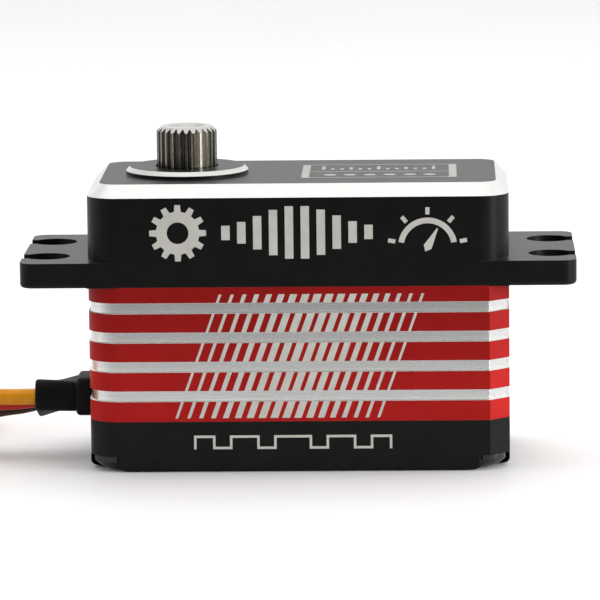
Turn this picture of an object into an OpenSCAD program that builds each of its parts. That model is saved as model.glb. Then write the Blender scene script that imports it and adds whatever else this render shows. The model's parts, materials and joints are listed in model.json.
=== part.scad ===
// Low-profile digital servo: aluminium three-piece case, splined output shaft, metal gear train,
// brushless motor, position sensor, control board and a three-wire lead with its plug.
// Millimetres. The origin is the centre of the case's bottom face, +Z runs up the output shaft,
// and the output shaft is towards -X.

/* [Case] */
// Length of the case, without the mounting ears
body_l = 40.8; // [40.4:0.1:41.4]
// Width of the case and of the mounting ears
body_w = 20.4; // [20.2:0.1:20.8]
// Height of the flat top of the case
case_h = 28; // [28:0.1:28.6]
// Height of the bottom cover
cover_h = 4.95; // [4.9:0.05:5.1]
// Underside of the mounting ears, and top of the red middle case
ear_z = 18.05; // [18.05:0.05:18.2]
// Thickness of the mounting ears
ear_t = 2.45; // [2:0.05:3]
// Length over the mounting ears
ear_l = 53.8; // [53.4:0.1:55]
// Radius of the rounded upright corners
corner_r = 3; // [2.6:0.1:3.2]
// Width of the flat chamfer on the motor end's upright corners
corner_chamfer = 1.9; // [1.5:0.1:2]
// Width and height of the bright bevel round the top
bevel = 1.22; // [0.8:0.02:1.4]
// Wall thickness of the case
wall = 1.4; // [1.3:0.05:1.5]

/* [Middle case grooves] */
// Number of bright grooves
groove_n = 4; // [2:1:4]
// Height of one groove
groove_h = 1.05; // [0.8:0.05:1.2]
// Depth of one groove
groove_d = 0.2; // [0.1:0.05:0.3]
// Distance from groove to groove
groove_pitch = 2.87; // [2.6:0.01:2.9]
// Centre of the lowest groove
groove_z = 7.44; // [7.3:0.02:7.5]

/* [Mounting] */
// Distance between screw holes along the case
hole_x = 49; // [48.6:0.1:49.4]
// Distance between screw holes across the case
hole_y = 10.1; // [10:0.1:10.4]
// Diameter of a screw hole
hole_d = 4.4; // [4.2:0.1:4.6]
// Width of the slit from a screw hole to the ear's end
slit_w = 2.6; // [2:0.1:2.7]

/* [Output] */
// Distance from the output end of the case to the output axis
axis_inset = 9.4; // [9.4:0.05:9.6]
// Outer diameter of the spline
spline_d = 5.9; // [5.8:0.02:5.96]
// Number of spline teeth
spline_n = 25; // [23:1:25]
// Height of the spline's end above the bottom face
spline_top = 32.65; // [32:0.05:33]
// Diameter of the raised collar round the shaft
collar_d = 12; // [11.6:0.1:12.4]
// Height of that collar
collar_h = 0.72; // [0.5:0.01:0.9]

/* [Gear train] */
// Teeth on the motor pinion
motor_pinion_z = 10; // [10:1:10]
// Teeth on the first wheel
wheel_1_z = 52; // [52:1:52]
// Teeth on the first gear's pinion
pinion_1_z = 18; // [18:1:18]
// Teeth on the second wheel
wheel_2_z = 52; // [52:1:52]
// Teeth on the second gear's pinion
pinion_2_z = 14; // [14:1:14]
// Teeth on the third wheel
wheel_3_z = 46; // [46:1:46]
// Teeth on the third gear's pinion
pinion_3_z = 12; // [12:1:12]
// Teeth on the output gear
output_z = 30; // [30:1:30]

/* [Lead] */
// Diameter of one insulated wire
wire_d = 1.6; // [1.4:0.05:1.6]
// How far the first leg of the lead runs from the case's centre
lead_reach = 54; // [50:1:70]
// Radius of the lead's turns
lead_turn = 5; // [4:0.5:6]

/* [Hidden] */

$fn = 64;
smooth_fn = 32;      // facets round a circle that goes into a hull
gap = 0.02;          // shafts in bores, and screws in threads
eps = 0.01;          // overshoot of a cut past the face it opens

// Case
seat_lift = 0.05;    // the middle case's rim stands this far into the top case
seat_z = ear_z + seat_lift;
roof_t = 1.4;
roof_z = case_h - roof_t;
ear_r = 1.3;
ear_edge = 0.4;      // rounding of the ears' lower edges
cover_edge = 0.5;    // rounding of the cover's long lower edges
cover_end_edge = 0.8; // rounding of the cover's short lower edges
bevel_z = case_h - bevel;
inner_r = 1.6;
gear_floor_z = 17;
gear_room_r = axis_inset - 1.15;     // round the output axis, inside the case's end wall
screw_play = 0.1;    // a screw's clearance in the parts it passes through
board_t = 1;
board_z = 3.2;
cover_floor = 1.2;

// Axes
out_x = axis_inset - body_l / 2;
m_first = 0.3;
m_second = 0.3;
m_third = 0.35;
m_fourth = 0.5;
idler_x = out_x + m_fourth * (pinion_3_z + output_z) / 2;
motor_x = idler_x + m_first * (motor_pinion_z + wheel_1_z) / 2;

// Profile shifts of the four meshes: plus on the pinion, minus on the wheel
shift_first = 0.45;
shift_second = 0.2;
shift_third = 0.3;
shift_fourth = 0.35;
play_fine = 0.02;    // taken off a fine tooth's thickness, for backlash
play_coarse = 0.03;

// Heights of the four gear layers: [bottom, top]
layer_1 = [17.2, 18.4];
layer_2 = [18.6, 19.9];
layer_3 = [20.1, 21.7];
layer_4 = [21.9, 24.5];

// Shafts and bearings: [bore radius, outer radius, width, ball radius]
out_bearing = [3, 5, 3, 0.62];
low_bearing = [1.5, 3, 2.4, 0.45];
motor_bearing = [0.75, 2, 1.5, 0.36];
out_bearing_z = 24.7;
low_bearing_z = gear_floor_z - 2.4;
low_shaft_r = 1.5;
low_ledge_r = 2.3;   // the ledges hold the outer races and clear the inner ones
motor_ledge_r = 1.4;
idler_r = 1;
idler_z = [15.6, 26.1];
screw_hole_r = 1.25;
screw_hole_depth = 8;
neck_hole_r = 3.1;
seal_groove_r = 3.85;
seal_groove_h = 0.6;

// Case screws
screw_x = body_l / 2 - 2.3;
screw_y = body_w / 2 - 2.3;
screw_r = 1;
screw_head_r = 1.9;
screw_head_h = 1.4;
counterbore_r = 2.36;
counterbore_h = 1.5;
post_r = 2.3;
screw_top_z = 25;
tap_relief = 0.6;    // the tapped holes go this far past the screws' tips

// Motor
motor_r = 8;
motor_z = [5.6, 15.6];
can_t = 0.5;
motor_nose_r = 2.6;
motor_nose_h = 1.2;
motor_screw_y = 5.4;
motor_screw_r = 0.8;
motor_lead_at = 6;   // distance of the three motor leads from the motor's axis
motor_lead_step = 40;
motor_lead_r = 0.33;
end_cap_t = 0.9;
slot_n = 6;

// Position sensor
sensor_r = 5;
sensor_z = [7.6, 13.1];
tongue_r = 0.95;     // flat tongue on the output shaft's lower end, which turns the sensor
tongue_t = 0.8;
tongue_l = 2;
sensor_shell = 0.6;
wiper_r = 4;
wiper_z = sensor_z[0] + 1.6;

// Lead and grommet
grommet_z = 6.1;
grommet_collar = [1.75, 6.4, 3.75];  // along X, Y and Z
sleeve_l = 4.05;
sleeve_root = [5.8, 3];              // along Y and Z
sleeve_mouth = [5.6, 3.15];
grommet_mouth_z = 5.645;
grommet_neck = [1.4, 5.4, 2.2];
grommet_lip = [0.9, 6.2, 2.4];
mouth_tilt = 19;     // the sleeve twists this far, front edge up
wire_pitch = wire_d + 0.02;
lead_back = 38;      // distance from the case's centre to the second turn's centre
edge_z = 1.5 * wire_d + 0.12;        // height of the ribbon's middle wire when it stands on edge
plug = [14, 7.7, 2.6];
plug_pitch = 2.54;
plug_x = -(lead_back + 8);
plug_y = 4 * lead_turn;

// ---------------------------------------------------------------- shapes that repeat

module ring(outer_r, inner_r, h) {
    difference() {
        cylinder(r = outer_r, h = h);
        translate([0, 0, -eps]) cylinder(r = inner_r, h = h + 2 * eps);
    }
}

module rounded_rect(l, w, r) {
    square([l - 2 * r, w], center = true);
    square([l, w - 2 * r], center = true);
    for (sx = [-1, 1], sy = [-1, 1])
        translate([sx * (l / 2 - r), sy * (w / 2 - r)]) circle(r = r);
}

// A block along X with rounded edges, centred on the X axis, from x = 0 to -size.x
module rounded_bar(size, r) {
    rotate([0, -90, 0]) linear_extrude(size[0]) rounded_rect(size[2], size[1], r);
}

// Outline of the middle case and cover, inset by d: round at the output end, chamfered at the motor end
module case_outline(d = 0) {
    l = body_l / 2 - d;
    w = body_w / 2 - d;
    r = corner_r - d;
    c = corner_chamfer - d * (2 - sqrt(2));
    polygon([[-l + r, -w], [l - c, -w], [l, -w + c], [l, w - c], [l - c, w], [-l + r, w]]);
    translate([-l, -w + r]) square([r + 1, 2 * (w - r)]);
    for (s = [-1, 1]) translate([-l + r, s * (w - r)]) circle(r = r);
}

// The room inside the case walls, with a post left in each corner for a case screw
module cavity_outline() {
    difference() {
        rounded_rect(body_l - 2 * wall, body_w - 2 * wall, inner_r);
        for (mx = [0, 1], my = [0, 1]) mirror([mx, 0]) mirror([0, my]) translate([screw_x, screw_y]) {
            circle(r = post_r);
            translate([-post_r, 0]) square([post_r + 2, 2]);
            translate([0, -post_r]) square([2, post_r + 2]);
        }
    }
}

module at_screws() {
    for (sx = [-1, 1], sy = [-1, 1]) translate([sx * screw_x, sy * screw_y, 0]) children();
}

module on_output_axis(z = 0) {
    translate([out_x, 0, z]) children();
}

module on_idler_axis(z = 0) {
    translate([idler_x, 0, z]) children();
}

module on_motor_axis(z = 0) {
    translate([motor_x, 0, z]) children();
}

// Involute gear outlines
pressure = 20;
flank_steps = 2;
function involute(a) = tan(a) * 180 / PI - a;
function polar(r, a) = [r * cos(a), r * sin(a)];

// Half of a tooth's angle at radius r
function half_tooth(m, z, shift, play, r) =
    let (pitch_r = m * z / 2, base_r = pitch_r * cos(pressure))
    (90 + 360 / PI * shift * tan(pressure)) / z - play / 2 / pitch_r * 180 / PI
    + involute(pressure) - involute(acos(min(1, base_r / r)));

function tooth(m, z, shift, play, at) =
    let (
        pitch_r = m * z / 2,
        tip_r = pitch_r + m * (1 + shift),
        root_r = pitch_r - m * (1.25 - shift),
        start_r = max(root_r, pitch_r * cos(pressure)),
        radii = concat([root_r], [for (i = [0:flank_steps]) start_r + (tip_r - start_r) * i / flank_steps]),
        angles = [for (r = radii) half_tooth(m, z, shift, play, max(r, start_r))],
        last = len(radii) - 1
    )
    concat(
        [for (i = [0:last]) polar(radii[i], at - angles[i])],
        [for (i = [last:-1:0]) polar(radii[i], at + angles[i])]
    );

// A gear with a tooth centred on angle `turn`
module gear(m, z, shift, play, layer, turn) {
    translate([0, 0, layer[0]])
        linear_extrude(layer[1] - layer[0])
            polygon([for (i = [0:z - 1]) each tooth(m, z, shift, play, turn + i * 360 / z)]);
}

// Ball bearings: b = [bore radius, outer radius, width, ball radius]
function ball_path(b) = (b[0] + b[1]) / 2;
race_gap = 0.4;      // half of the ball's radius shows between the races

module race(b, outer) {
    mid = ball_path(b);
    half_gap = b[3] * race_gap;
    rotate_extrude() difference() {
        if (outer) translate([mid + half_gap, 0]) square([b[1] - mid - half_gap, b[2]]);
        else translate([b[0], 0]) square([mid - half_gap - b[0], b[2]]);
        translate([mid, b[2] / 2]) circle(r = b[3] + gap);
    }
}

module balls(b) {
    n = floor(PI * 2 * ball_path(b) / (b[3] * 2.5));
    for (i = [0:n - 1])
        rotate(i * 360 / n) translate([ball_path(b), 0, b[2] / 2]) sphere(r = b[3]);
}

// ---------------------------------------------------------------- case

// A hole open to the ear's end through a narrower slit
module ear_hole() {
    translate([hole_x / 2, hole_y / 2, ear_z - 1]) {
        cylinder(d = hole_d, h = ear_t + 2);
        translate([0, -slit_w / 2, 0]) cube([ear_l / 2, slit_w, ear_t + 2]);
    }
}

// What a rounded lower edge of the given length along X takes off, at a wall that faces -Y
module edge_rounding(length, r) {
    difference() {
        translate([-length / 2, -1, -1]) cube([length, r + 1, r + 1]);
        translate([-length / 2 - 1, r, r]) rotate([0, 90, 0]) cylinder(r = r, h = length + 2);
    }
}

// The same round an upright corner of radius corner, centred on its axis and facing -X and -Y
module corner_edge_rounding(corner, r) {
    intersection() {
        rotate_extrude() difference() {
            translate([corner - r, -1]) square([r + 1, r + 1]);
            translate([corner - r, r]) circle(r = r);
        }
        translate([-corner - 1, -corner - 1, -1]) cube([corner + 1, corner + 1, r + 1]);
    }
}

// The plate that carries both ears, its lower edges rounded where it stands clear of the case
module ear_plate() {
    free_l = ear_l / 2 - ear_r - body_l / 2;
    translate([0, 0, ear_z]) difference() {
        linear_extrude(ear_t) rounded_rect(ear_l, body_w, ear_r);
        for (mx = [0, 1], my = [0, 1]) mirror([mx, 0, 0]) mirror([0, my, 0]) {
            translate([-body_l / 2 - free_l / 2, -body_w / 2, 0]) edge_rounding(free_l, ear_edge);
            translate([-ear_l / 2 + ear_r, -body_w / 2 + ear_r, 0]) corner_edge_rounding(ear_r, ear_edge);
        }
        for (a = [0, 180]) rotate(a) translate([-ear_l / 2, 0, 0]) rotate(-90)
            edge_rounding(body_w - 2 * ear_r, ear_edge);
    }
}

module top_case_body() {
    translate([0, 0, ear_z]) linear_extrude(bevel_z - ear_z) rounded_rect(body_l, body_w, corner_r);
    hull() {
        translate([0, 0, bevel_z - eps]) linear_extrude(eps)
            rounded_rect(body_l, body_w, corner_r, $fn = 2 * smooth_fn);
        translate([0, 0, case_h - eps]) linear_extrude(eps)
            rounded_rect(body_l - 2 * bevel, body_w - 2 * bevel, corner_r - bevel, $fn = 2 * smooth_fn);
    }
    ear_plate();
    collar_wall = 0.33;
    collar_edge = collar_h - collar_wall;
    on_output_axis(case_h - eps) cylinder(d = collar_d, h = collar_wall + eps);
    on_output_axis(case_h + collar_wall)
        cylinder(r1 = collar_d / 2, r2 = collar_d / 2 - collar_edge, h = collar_edge);
}

module top_case() {
    housing_wall = 1.2;
    pin_boss_z = layer_4[1] + 0.2;
    color("#1b1c1e") difference() {
        union() {
            difference() {
                top_case_body();
                translate([0, 0, ear_z - 1]) linear_extrude(roof_z - ear_z + 1) cavity_outline();
                on_output_axis(ear_z - 1) cylinder(r = gear_room_r, h = roof_z - ear_z + 1);
            }
            on_output_axis(out_bearing_z)
                cylinder(r = out_bearing[1] + housing_wall, h = roof_z - out_bearing_z + eps);
            on_idler_axis(pin_boss_z) cylinder(r = idler_r + 1, h = roof_z - pin_boss_z + eps);
        }
        translate([0, 0, ear_z - 1]) linear_extrude(1 + seat_lift) case_outline();
        on_output_axis(out_bearing_z - 1) cylinder(r = out_bearing[1], h = out_bearing[2] + 1);
        on_output_axis(out_bearing_z) cylinder(r = seal_groove_r, h = out_bearing[2] + seal_groove_h);
        on_output_axis(out_bearing_z) cylinder(r = neck_hole_r, h = 10);
        on_idler_axis(layer_4[1]) cylinder(r = idler_r, h = idler_z[1] - layer_4[1]);
        at_screws() translate([0, 0, ear_z - 1])
            cylinder(r = screw_r + gap, h = screw_top_z + tap_relief - ear_z + 1);
        for (mx = [0, 1], my = [0, 1]) mirror([mx, 0, 0]) mirror([0, my, 0]) ear_hole();
    }
}

module grooves() {
    for (i = [0:groove_n - 1])
        translate([0, 0, groove_z + i * groove_pitch - groove_h / 2]) linear_extrude(groove_h) difference() {
            square([body_l + 2, body_w + 2], center = true);
            case_outline(groove_d);
        }
}

module middle_case() {
    lead_room = [3.9, 6.8, 3.2];
    color("#a01818") difference() {
        translate([0, 0, cover_h]) linear_extrude(seat_z - cover_h) case_outline();
        grooves();
        translate([0, 0, gear_floor_z]) linear_extrude(2) cavity_outline();
        on_output_axis(gear_floor_z) cylinder(r = gear_room_r, h = 2);
        on_motor_axis(cover_h - 1) cylinder(r = motor_r + gap, h = motor_z[1] - cover_h + 1);
        on_motor_axis(motor_z[1] - 1) cylinder(r = motor_nose_r + gap, h = 3);
        for (s = [-1, 1]) on_motor_axis(motor_z[1] - 1) translate([0, s * motor_screw_y, 0])
            cylinder(r = motor_screw_r + screw_play, h = 3);
        on_output_axis(cover_h - 1) cylinder(r = sensor_r + 0.1, h = sensor_z[1] - cover_h + 1);
        on_output_axis(sensor_z[1] - 1) cylinder(r = low_ledge_r, h = 3);
        on_output_axis(low_bearing_z) cylinder(r = low_bearing[1], h = 3);
        on_idler_axis(idler_z[0]) cylinder(r = idler_r, h = 3);
        at_screws() translate([0, 0, cover_h - 1])
            cylinder(r = screw_r + screw_play, h = seat_z - cover_h + 2);
        translate([-body_l / 2 + wall, -lead_room[1] / 2, cover_h - 1])
            cube([lead_room[0], lead_room[1], lead_room[2] + 1]);
        translate([-body_l / 2 - 1, -grommet_neck[1] / 2, cover_h - 1])
            cube([wall + 2, grommet_neck[1], grommet_z + grommet_neck[2] / 2 - cover_h + 1]);
    }
}

module bottom_cover() {
    color("#1b1c1e") difference() {
        linear_extrude(cover_h) case_outline();
        for (a = [0, 180]) rotate(a) {
            translate([0, -body_w / 2, 0]) edge_rounding(body_l + 2, cover_edge);
            translate([-body_l / 2, 0, 0]) rotate(-90) edge_rounding(body_w + 2, cover_end_edge);
        }
        translate([0, 0, cover_floor]) linear_extrude(cover_h) cavity_outline();
        at_screws() translate([0, 0, -1]) cylinder(r = screw_r + screw_play, h = cover_h + 2);
        at_screws() translate([0, 0, -1]) cylinder(r = counterbore_r, h = counterbore_h + 1);
    }
}

// A button-head screw with a hex socket, its head's underside at z = counterbore_h
module case_screw() {
    dome_h = 0.85;
    dome_r = (screw_head_r * screw_head_r + dome_h * dome_h) / 2 / dome_h;
    socket_r = 0.75;
    socket_depth = 0.85;
    difference() {
        union() {
            intersection() {
                translate([0, 0, counterbore_h - screw_head_h]) cylinder(r = screw_head_r, h = screw_head_h);
                translate([0, 0, counterbore_h - screw_head_h + dome_r]) sphere(r = dome_r);
            }
            translate([0, 0, counterbore_h - eps]) cylinder(r = screw_r, h = screw_top_z - counterbore_h);
        }
        translate([0, 0, -eps])
            cylinder(r = socket_r, h = counterbore_h - screw_head_h + socket_depth, $fn = 6);
    }
}

module case_screws() {
    color("#26272a") at_screws() case_screw();
}

// ---------------------------------------------------------------- output shaft and bearings

// The spline's outline: V-shaped grooves between narrow teeth
module spline_outline(turn) {
    tip_r = spline_d / 2;
    root_r = tip_r - 0.36;
    step = 360 / spline_n;
    polygon([for (i = [0:spline_n - 1]) each [
        polar(root_r, turn + (i - 0.42) * step), polar(tip_r, turn + (i - 0.13) * step),
        polar(tip_r, turn + (i + 0.13) * step), polar(root_r, turn + (i + 0.42) * step)]]);
}

module output_shaft() {
    spline_z = case_h + 0.1;
    top_chamfer = 0.5;
    countersink = 0.6;
    shoulder_r = 3.4;    // carries the upper bearing's inner race
    bearing_top = out_bearing_z + out_bearing[2];
    color("#8d8a84") on_output_axis() difference() {
        union() {
            translate([0, 0, low_bearing_z]) cylinder(r = low_shaft_r - gap, h = layer_4[0] - low_bearing_z);
            gear(m_fourth, output_z, -shift_fourth, play_coarse, layer_4, 180 / output_z);
            translate([0, 0, layer_4[1]]) cylinder(r = shoulder_r, h = out_bearing_z - layer_4[1]);
            translate([0, 0, layer_4[1]]) cylinder(r = out_bearing[0] - gap, h = spline_z - layer_4[1]);
            intersection() {
                translate([0, 0, bearing_top]) linear_extrude(spline_top - bearing_top) spline_outline(-88.4);
                union() {
                    translate([0, 0, bearing_top])
                        cylinder(d = spline_d + 1, h = spline_top - top_chamfer - bearing_top);
                    translate([0, 0, spline_top - top_chamfer])
                        cylinder(r1 = spline_d / 2 + 0.02, r2 = spline_d / 2 - top_chamfer, h = top_chamfer);
                }
            }
            translate([0, 0, low_bearing_z - tongue_l]) intersection() {
                cylinder(r = tongue_r, h = tongue_l + eps);
                translate([-tongue_r, -tongue_t / 2, 0]) cube([2 * tongue_r, tongue_t, tongue_l + 1]);
            }
        }
        translate([0, 0, spline_top - screw_hole_depth])
            cylinder(r = screw_hole_r, h = screw_hole_depth + 1);
        translate([0, 0, spline_top - countersink])
            cylinder(r1 = screw_hole_r, r2 = screw_hole_r + countersink + 0.1, h = countersink + 0.1);
    }
}

module shaft_seal() {
    tube_r = 0.27;
    color("#141414") on_output_axis(out_bearing_z + out_bearing[2] + seal_groove_h / 2)
        rotate_extrude() translate([out_bearing[0] + gap + tube_r, 0]) circle(r = tube_r);
}

module output_bearing_outer() {
    color("#b8bcc0") on_output_axis(out_bearing_z) race(out_bearing, true);
}

module output_bearing_balls() {
    color("#d8dcde") on_output_axis(out_bearing_z) balls(out_bearing);
}

module output_bearing_inner() {
    color("#b8bcc0") on_output_axis(out_bearing_z) race(out_bearing, false);
}

module lower_bearing_outer() {
    color("#b8bcc0") on_output_axis(low_bearing_z) race(low_bearing, true);
}

module lower_bearing_balls() {
    color("#d8dcde") on_output_axis(low_bearing_z) balls(low_bearing);
}

module lower_bearing_inner() {
    color("#b8bcc0") on_output_axis(low_bearing_z) race(low_bearing, false);
}

// ---------------------------------------------------------------- gear train

hub_r = 1.9;         // the part of a pinion that a wheel is pressed on

// A wheel with a bore that is pressed on its pinion's hub
module wheel(m, z, shift, layer, turn) {
    difference() {
        gear(m, z, -shift, play_fine, layer, turn);
        translate([0, 0, layer[0] - 1]) cylinder(r = hub_r, h = layer[1] - layer[0] + 2);
    }
}

// A pinion with a hub through its wheel, bored to run on a pin
module pinion(m, z, shift, play, layer, turn, hub, bore_r) {
    difference() {
        union() {
            gear(m, z, shift, play, layer, turn);
            translate([0, 0, hub[0]]) cylinder(r = hub_r, h = hub[1] - hub[0]);
        }
        translate([0, 0, hub[0] - 1]) cylinder(r = bore_r, h = 20);
    }
}

module third_gear_wheel() {
    color("#c9a45c") on_idler_axis() wheel(m_third, wheel_3_z, shift_third, layer_3, 180 + 180 / wheel_3_z);
}

module third_gear_pinion() {
    color("#9a9a98") on_idler_axis() pinion(m_fourth, pinion_3_z, shift_fourth, play_coarse,
        [layer_3[1], layer_4[1]], 180, [layer_2[1] + 0.05, layer_3[1]], idler_r + gap);
}

module second_gear_wheel() {
    color("#c9a45c") on_output_axis() wheel(m_second, wheel_2_z, shift_second, layer_2, 180 / wheel_2_z);
}

module second_gear_pinion() {
    color("#9a9a98") on_output_axis() pinion(m_third, pinion_2_z, shift_third, play_fine,
        [layer_2[1], layer_4[0] - 0.05], 0, [gear_floor_z + 0.05, layer_2[1]], low_shaft_r + gap);
}

module first_gear_wheel() {
    color("#c9a45c") on_idler_axis() wheel(m_first, wheel_1_z, shift_first, layer_1, 180 / wheel_1_z);
}

module first_gear_pinion() {
    color("#9a9a98") on_idler_axis() pinion(m_second, pinion_1_z, shift_second, play_fine,
        [layer_1[1], layer_2[1]], 180, [gear_floor_z + 0.05, layer_1[1]], idler_r + gap);
}

module idler_pin() {
    color("#c4c6c8") on_idler_axis(idler_z[0]) cylinder(r = idler_r, h = idler_z[1] - idler_z[0]);
}

module motor_pinion() {
    color("#c9a45c") on_motor_axis() difference() {
        gear(m_first, motor_pinion_z, shift_first, play_fine, [layer_1[0] - 0.1, layer_1[1] + 0.1], 180);
        translate([0, 0, layer_1[0] - 1]) cylinder(r = motor_bearing[0], h = 4);
    }
}

// ---------------------------------------------------------------- motor

rear_bearing_z = motor_z[0] + 0.3;
nose_bearing_z = motor_z[1] + motor_nose_h - motor_bearing[2] - 0.3;

module motor_can() {
    color("#7d8084") on_motor_axis() difference() {
        union() {
            translate([0, 0, motor_z[0]]) cylinder(r = motor_r, h = motor_z[1] - motor_z[0]);
            translate([0, 0, motor_z[1]]) cylinder(r = motor_nose_r, h = motor_nose_h);
        }
        translate([0, 0, motor_z[0] - 1]) cylinder(r = motor_r - can_t, h = motor_z[1] - motor_z[0]);
        translate([0, 0, nose_bearing_z - 3]) cylinder(r = motor_bearing[1], h = motor_bearing[2] + 3);
        translate([0, 0, nose_bearing_z]) cylinder(r = motor_ledge_r, h = 4);
        for (s = [-1, 1]) translate([0, s * motor_screw_y, motor_z[1] - 2])
            cylinder(r = motor_screw_r + gap, h = 3);
    }
}

module motor_end_cap() {
    boss_wall = 0.7;
    boss_h = 2.2;
    color("#3a3c3e") on_motor_axis(motor_z[0]) difference() {
        union() {
            cylinder(r = motor_r - can_t, h = end_cap_t);
            cylinder(r = motor_bearing[1] + boss_wall, h = boss_h);
        }
        translate([0, 0, rear_bearing_z - motor_z[0]]) cylinder(r = motor_bearing[1], h = boss_h);
        translate([0, 0, -1]) cylinder(r = motor_ledge_r, h = 3);
        for (i = [-1, 0, 1]) rotate(i * motor_lead_step) translate([-motor_lead_at, 0, -1])
            cylinder(r = motor_lead_r + gap, h = 3);
    }
}

module motor_screws() {
    head_r = 1.45;
    head_h = 0.9;
    grip = 0.45;     // how far the thread reaches into the motor's face
    slot = [2, 0.3, 1];
    color("#26272a") for (y = [-motor_screw_y, motor_screw_y])
        translate([motor_x, y, gear_floor_z]) difference() {
            union() {
                cylinder(r = head_r, h = head_h);
                translate([0, 0, motor_z[1] - grip - gear_floor_z])
                    cylinder(r = motor_screw_r, h = gear_floor_z - motor_z[1] + grip + eps);
            }
            for (a = [0, 90]) rotate(a) translate([-slot[0] / 2, -slot[1] / 2, head_h / 2]) cube(slot);
        }
}

stator_z = [8.2, 13.2];
stator_l = stator_z[1] - stator_z[0];
stator_tooth_w = 1.7;
bore_r = 3.7;

module stator_core() {
    yoke_r = motor_r - can_t;
    yoke_t = 0.9;
    shoe = [0.7, 3];
    color("#55585c") on_motor_axis(stator_z[0]) linear_extrude(stator_l) difference() {
        union() {
            difference() {
                circle(r = yoke_r);
                circle(r = yoke_r - yoke_t);
            }
            for (i = [0:slot_n - 1]) rotate(i * 360 / slot_n) {
                translate([bore_r - 0.1, -stator_tooth_w / 2])
                    square([yoke_r - bore_r - 0.3, stator_tooth_w]);
                translate([bore_r - 0.1, -shoe[1] / 2]) square(shoe);
            }
        }
        circle(r = bore_r);
    }
}

module stator_windings() {
    coil = [1.9, 3];     // along and across its tooth
    coil_x = 4.5;
    overhang = 0.75;     // how far a coil stands past the core's ends
    room = 0.03;         // between a coil and its tooth
    color("#b4632a") on_motor_axis(stator_z[0] - overhang) for (i = [0:slot_n - 1]) rotate(i * 360 / slot_n)
        difference() {
            translate([coil_x, -coil[1] / 2, 0]) cube([coil[0], coil[1], stator_l + 2 * overhang]);
            translate([coil_x - 1, -stator_tooth_w / 2 - room, overhang - room])
                cube([coil[0] + 2, stator_tooth_w + 2 * room, stator_l + 2 * room]);
        }
}

module rotor_magnet() {
    magnet_r = 3.4;
    inset = 0.2;         // from the stator's ends
    color("#a8abae") on_motor_axis(stator_z[0] + inset)
        ring(magnet_r, motor_bearing[0], stator_l - 2 * inset);
}

module motor_shaft() {
    color("#c4c6c8") on_motor_axis(rear_bearing_z)
        cylinder(r = motor_bearing[0], h = layer_1[1] + 0.1 - rear_bearing_z);
}

module motor_bearing_outers() {
    color("#b8bcc0") for (z = [rear_bearing_z, nose_bearing_z]) on_motor_axis(z) race(motor_bearing, true);
}

module motor_bearing_balls() {
    color("#d8dcde") for (z = [rear_bearing_z, nose_bearing_z]) on_motor_axis(z) balls(motor_bearing);
}

module motor_bearing_inners() {
    color("#b8bcc0") for (z = [rear_bearing_z, nose_bearing_z]) on_motor_axis(z) race(motor_bearing, false);
}

// ---------------------------------------------------------------- position sensor

module sensor_housing() {
    height = sensor_z[1] - sensor_z[0];
    neck_r = 1.6;
    color("#23324a") on_output_axis(sensor_z[0]) difference() {
        cylinder(r = sensor_r, h = height);
        translate([0, 0, sensor_shell]) cylinder(r = sensor_r - sensor_shell, h = height - 2 * sensor_shell);
        translate([0, 0, height / 2]) cylinder(r = neck_r, h = height);
    }
}

// A ring of resistive track, broken over 30 to 120 degrees by the gap between its ends
module sensor_track() {
    track_t = 0.3;
    track_inner_r = 2.4;
    color("#2c2c2c") on_output_axis(sensor_z[0] + sensor_shell) difference() {
        ring(wiper_r, track_inner_r, track_t);
        translate([0, -5, -1]) rotate(30) cube([5, 4, 3]);
    }
}

module sensor_wiper() {
    disc_h = 0.8;
    stem_r = 1.5;
    brush = [0.6, 0.6, disc_h];
    brush_y = 3;
    slot = [2.04, 0.9];
    color("#d9d4c4") on_output_axis() difference() {
        union() {
            translate([0, 0, wiper_z]) cylinder(r = wiper_r - 0.3, h = disc_h);
            translate([0, 0, wiper_z]) cylinder(r = stem_r, h = low_bearing_z - 0.4 - wiper_z);
            for (s = [-1, 1]) translate([-brush[0] / 2, s * brush_y - brush[1] / 2, wiper_z - 0.65])
                cube(brush);
        }
        translate([-slot[0] / 2, -slot[1] / 2, low_bearing_z - tongue_l - 0.1])
            cube([slot[0], slot[1], tongue_l + 1]);
    }
}

module sensor_leads() {
    pitch = 2.5;
    lead_x = -2;
    lead_r = 0.25;
    color("#c8a24a") for (i = [-1:1]) on_output_axis(board_z + board_t)
        translate([lead_x, i * pitch, 0]) cylinder(r = lead_r, h = sensor_z[0] - board_z - board_t);
}

// ---------------------------------------------------------------- electronics

module circuit_board() {
    color("#1f5a38") translate([0, 0, board_z]) linear_extrude(board_t) difference() {
        square([body_l - 2 * wall - 0.6, body_w - 2 * wall - 0.6], center = true);
        for (sx = [-1, 1], sy = [-1, 1]) translate([sx * (screw_x + 1), sy * (screw_y + 1)])
            square(2 * (post_r + 1.2), center = true);
    }
}

module controller_chip() {
    package = [5, 5, 0.9];
    color("#17181a") translate([-3, -package[1] / 2, board_z - package[2]]) cube(package);
}

module power_transistors() {
    package = [3, 3, 0.8];
    pitch = 4;
    color("#1c1d20") for (i = [0:2], s = [-1, 1])
        translate([5 + i * pitch, s * pitch - package[1] / 2, board_z - package[2]]) cube(package);
}

module capacitors() {
    package = [3.5, 2, 1.6];
    spread = 4.5;
    color("#c58a2e") for (s = [-1, 1])
        translate([-9, s * spread - package[1] / 2, board_z - package[2]]) cube(package);
}

module motor_leads() {
    reach = 0.5;     // past the end cap
    color("#b4632a") for (i = [-1, 0, 1]) on_motor_axis(board_z + board_t) rotate(i * motor_lead_step)
        translate([-motor_lead_at, 0, 0])
            cylinder(r = motor_lead_r, h = motor_z[0] + end_cap_t + reach - board_z - board_t);
}

// ---------------------------------------------------------------- lead

thin = 0.02;         // thickness of the end sections that a hull joins

module sleeve_section(x, size, r, z, tilt) {
    translate([x, 0, z]) rotate([-tilt, 0, 0])
        rotate([0, -90, 0]) linear_extrude(thin) rounded_rect(size[1], size[0], r, $fn = smooth_fn);
}

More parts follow.
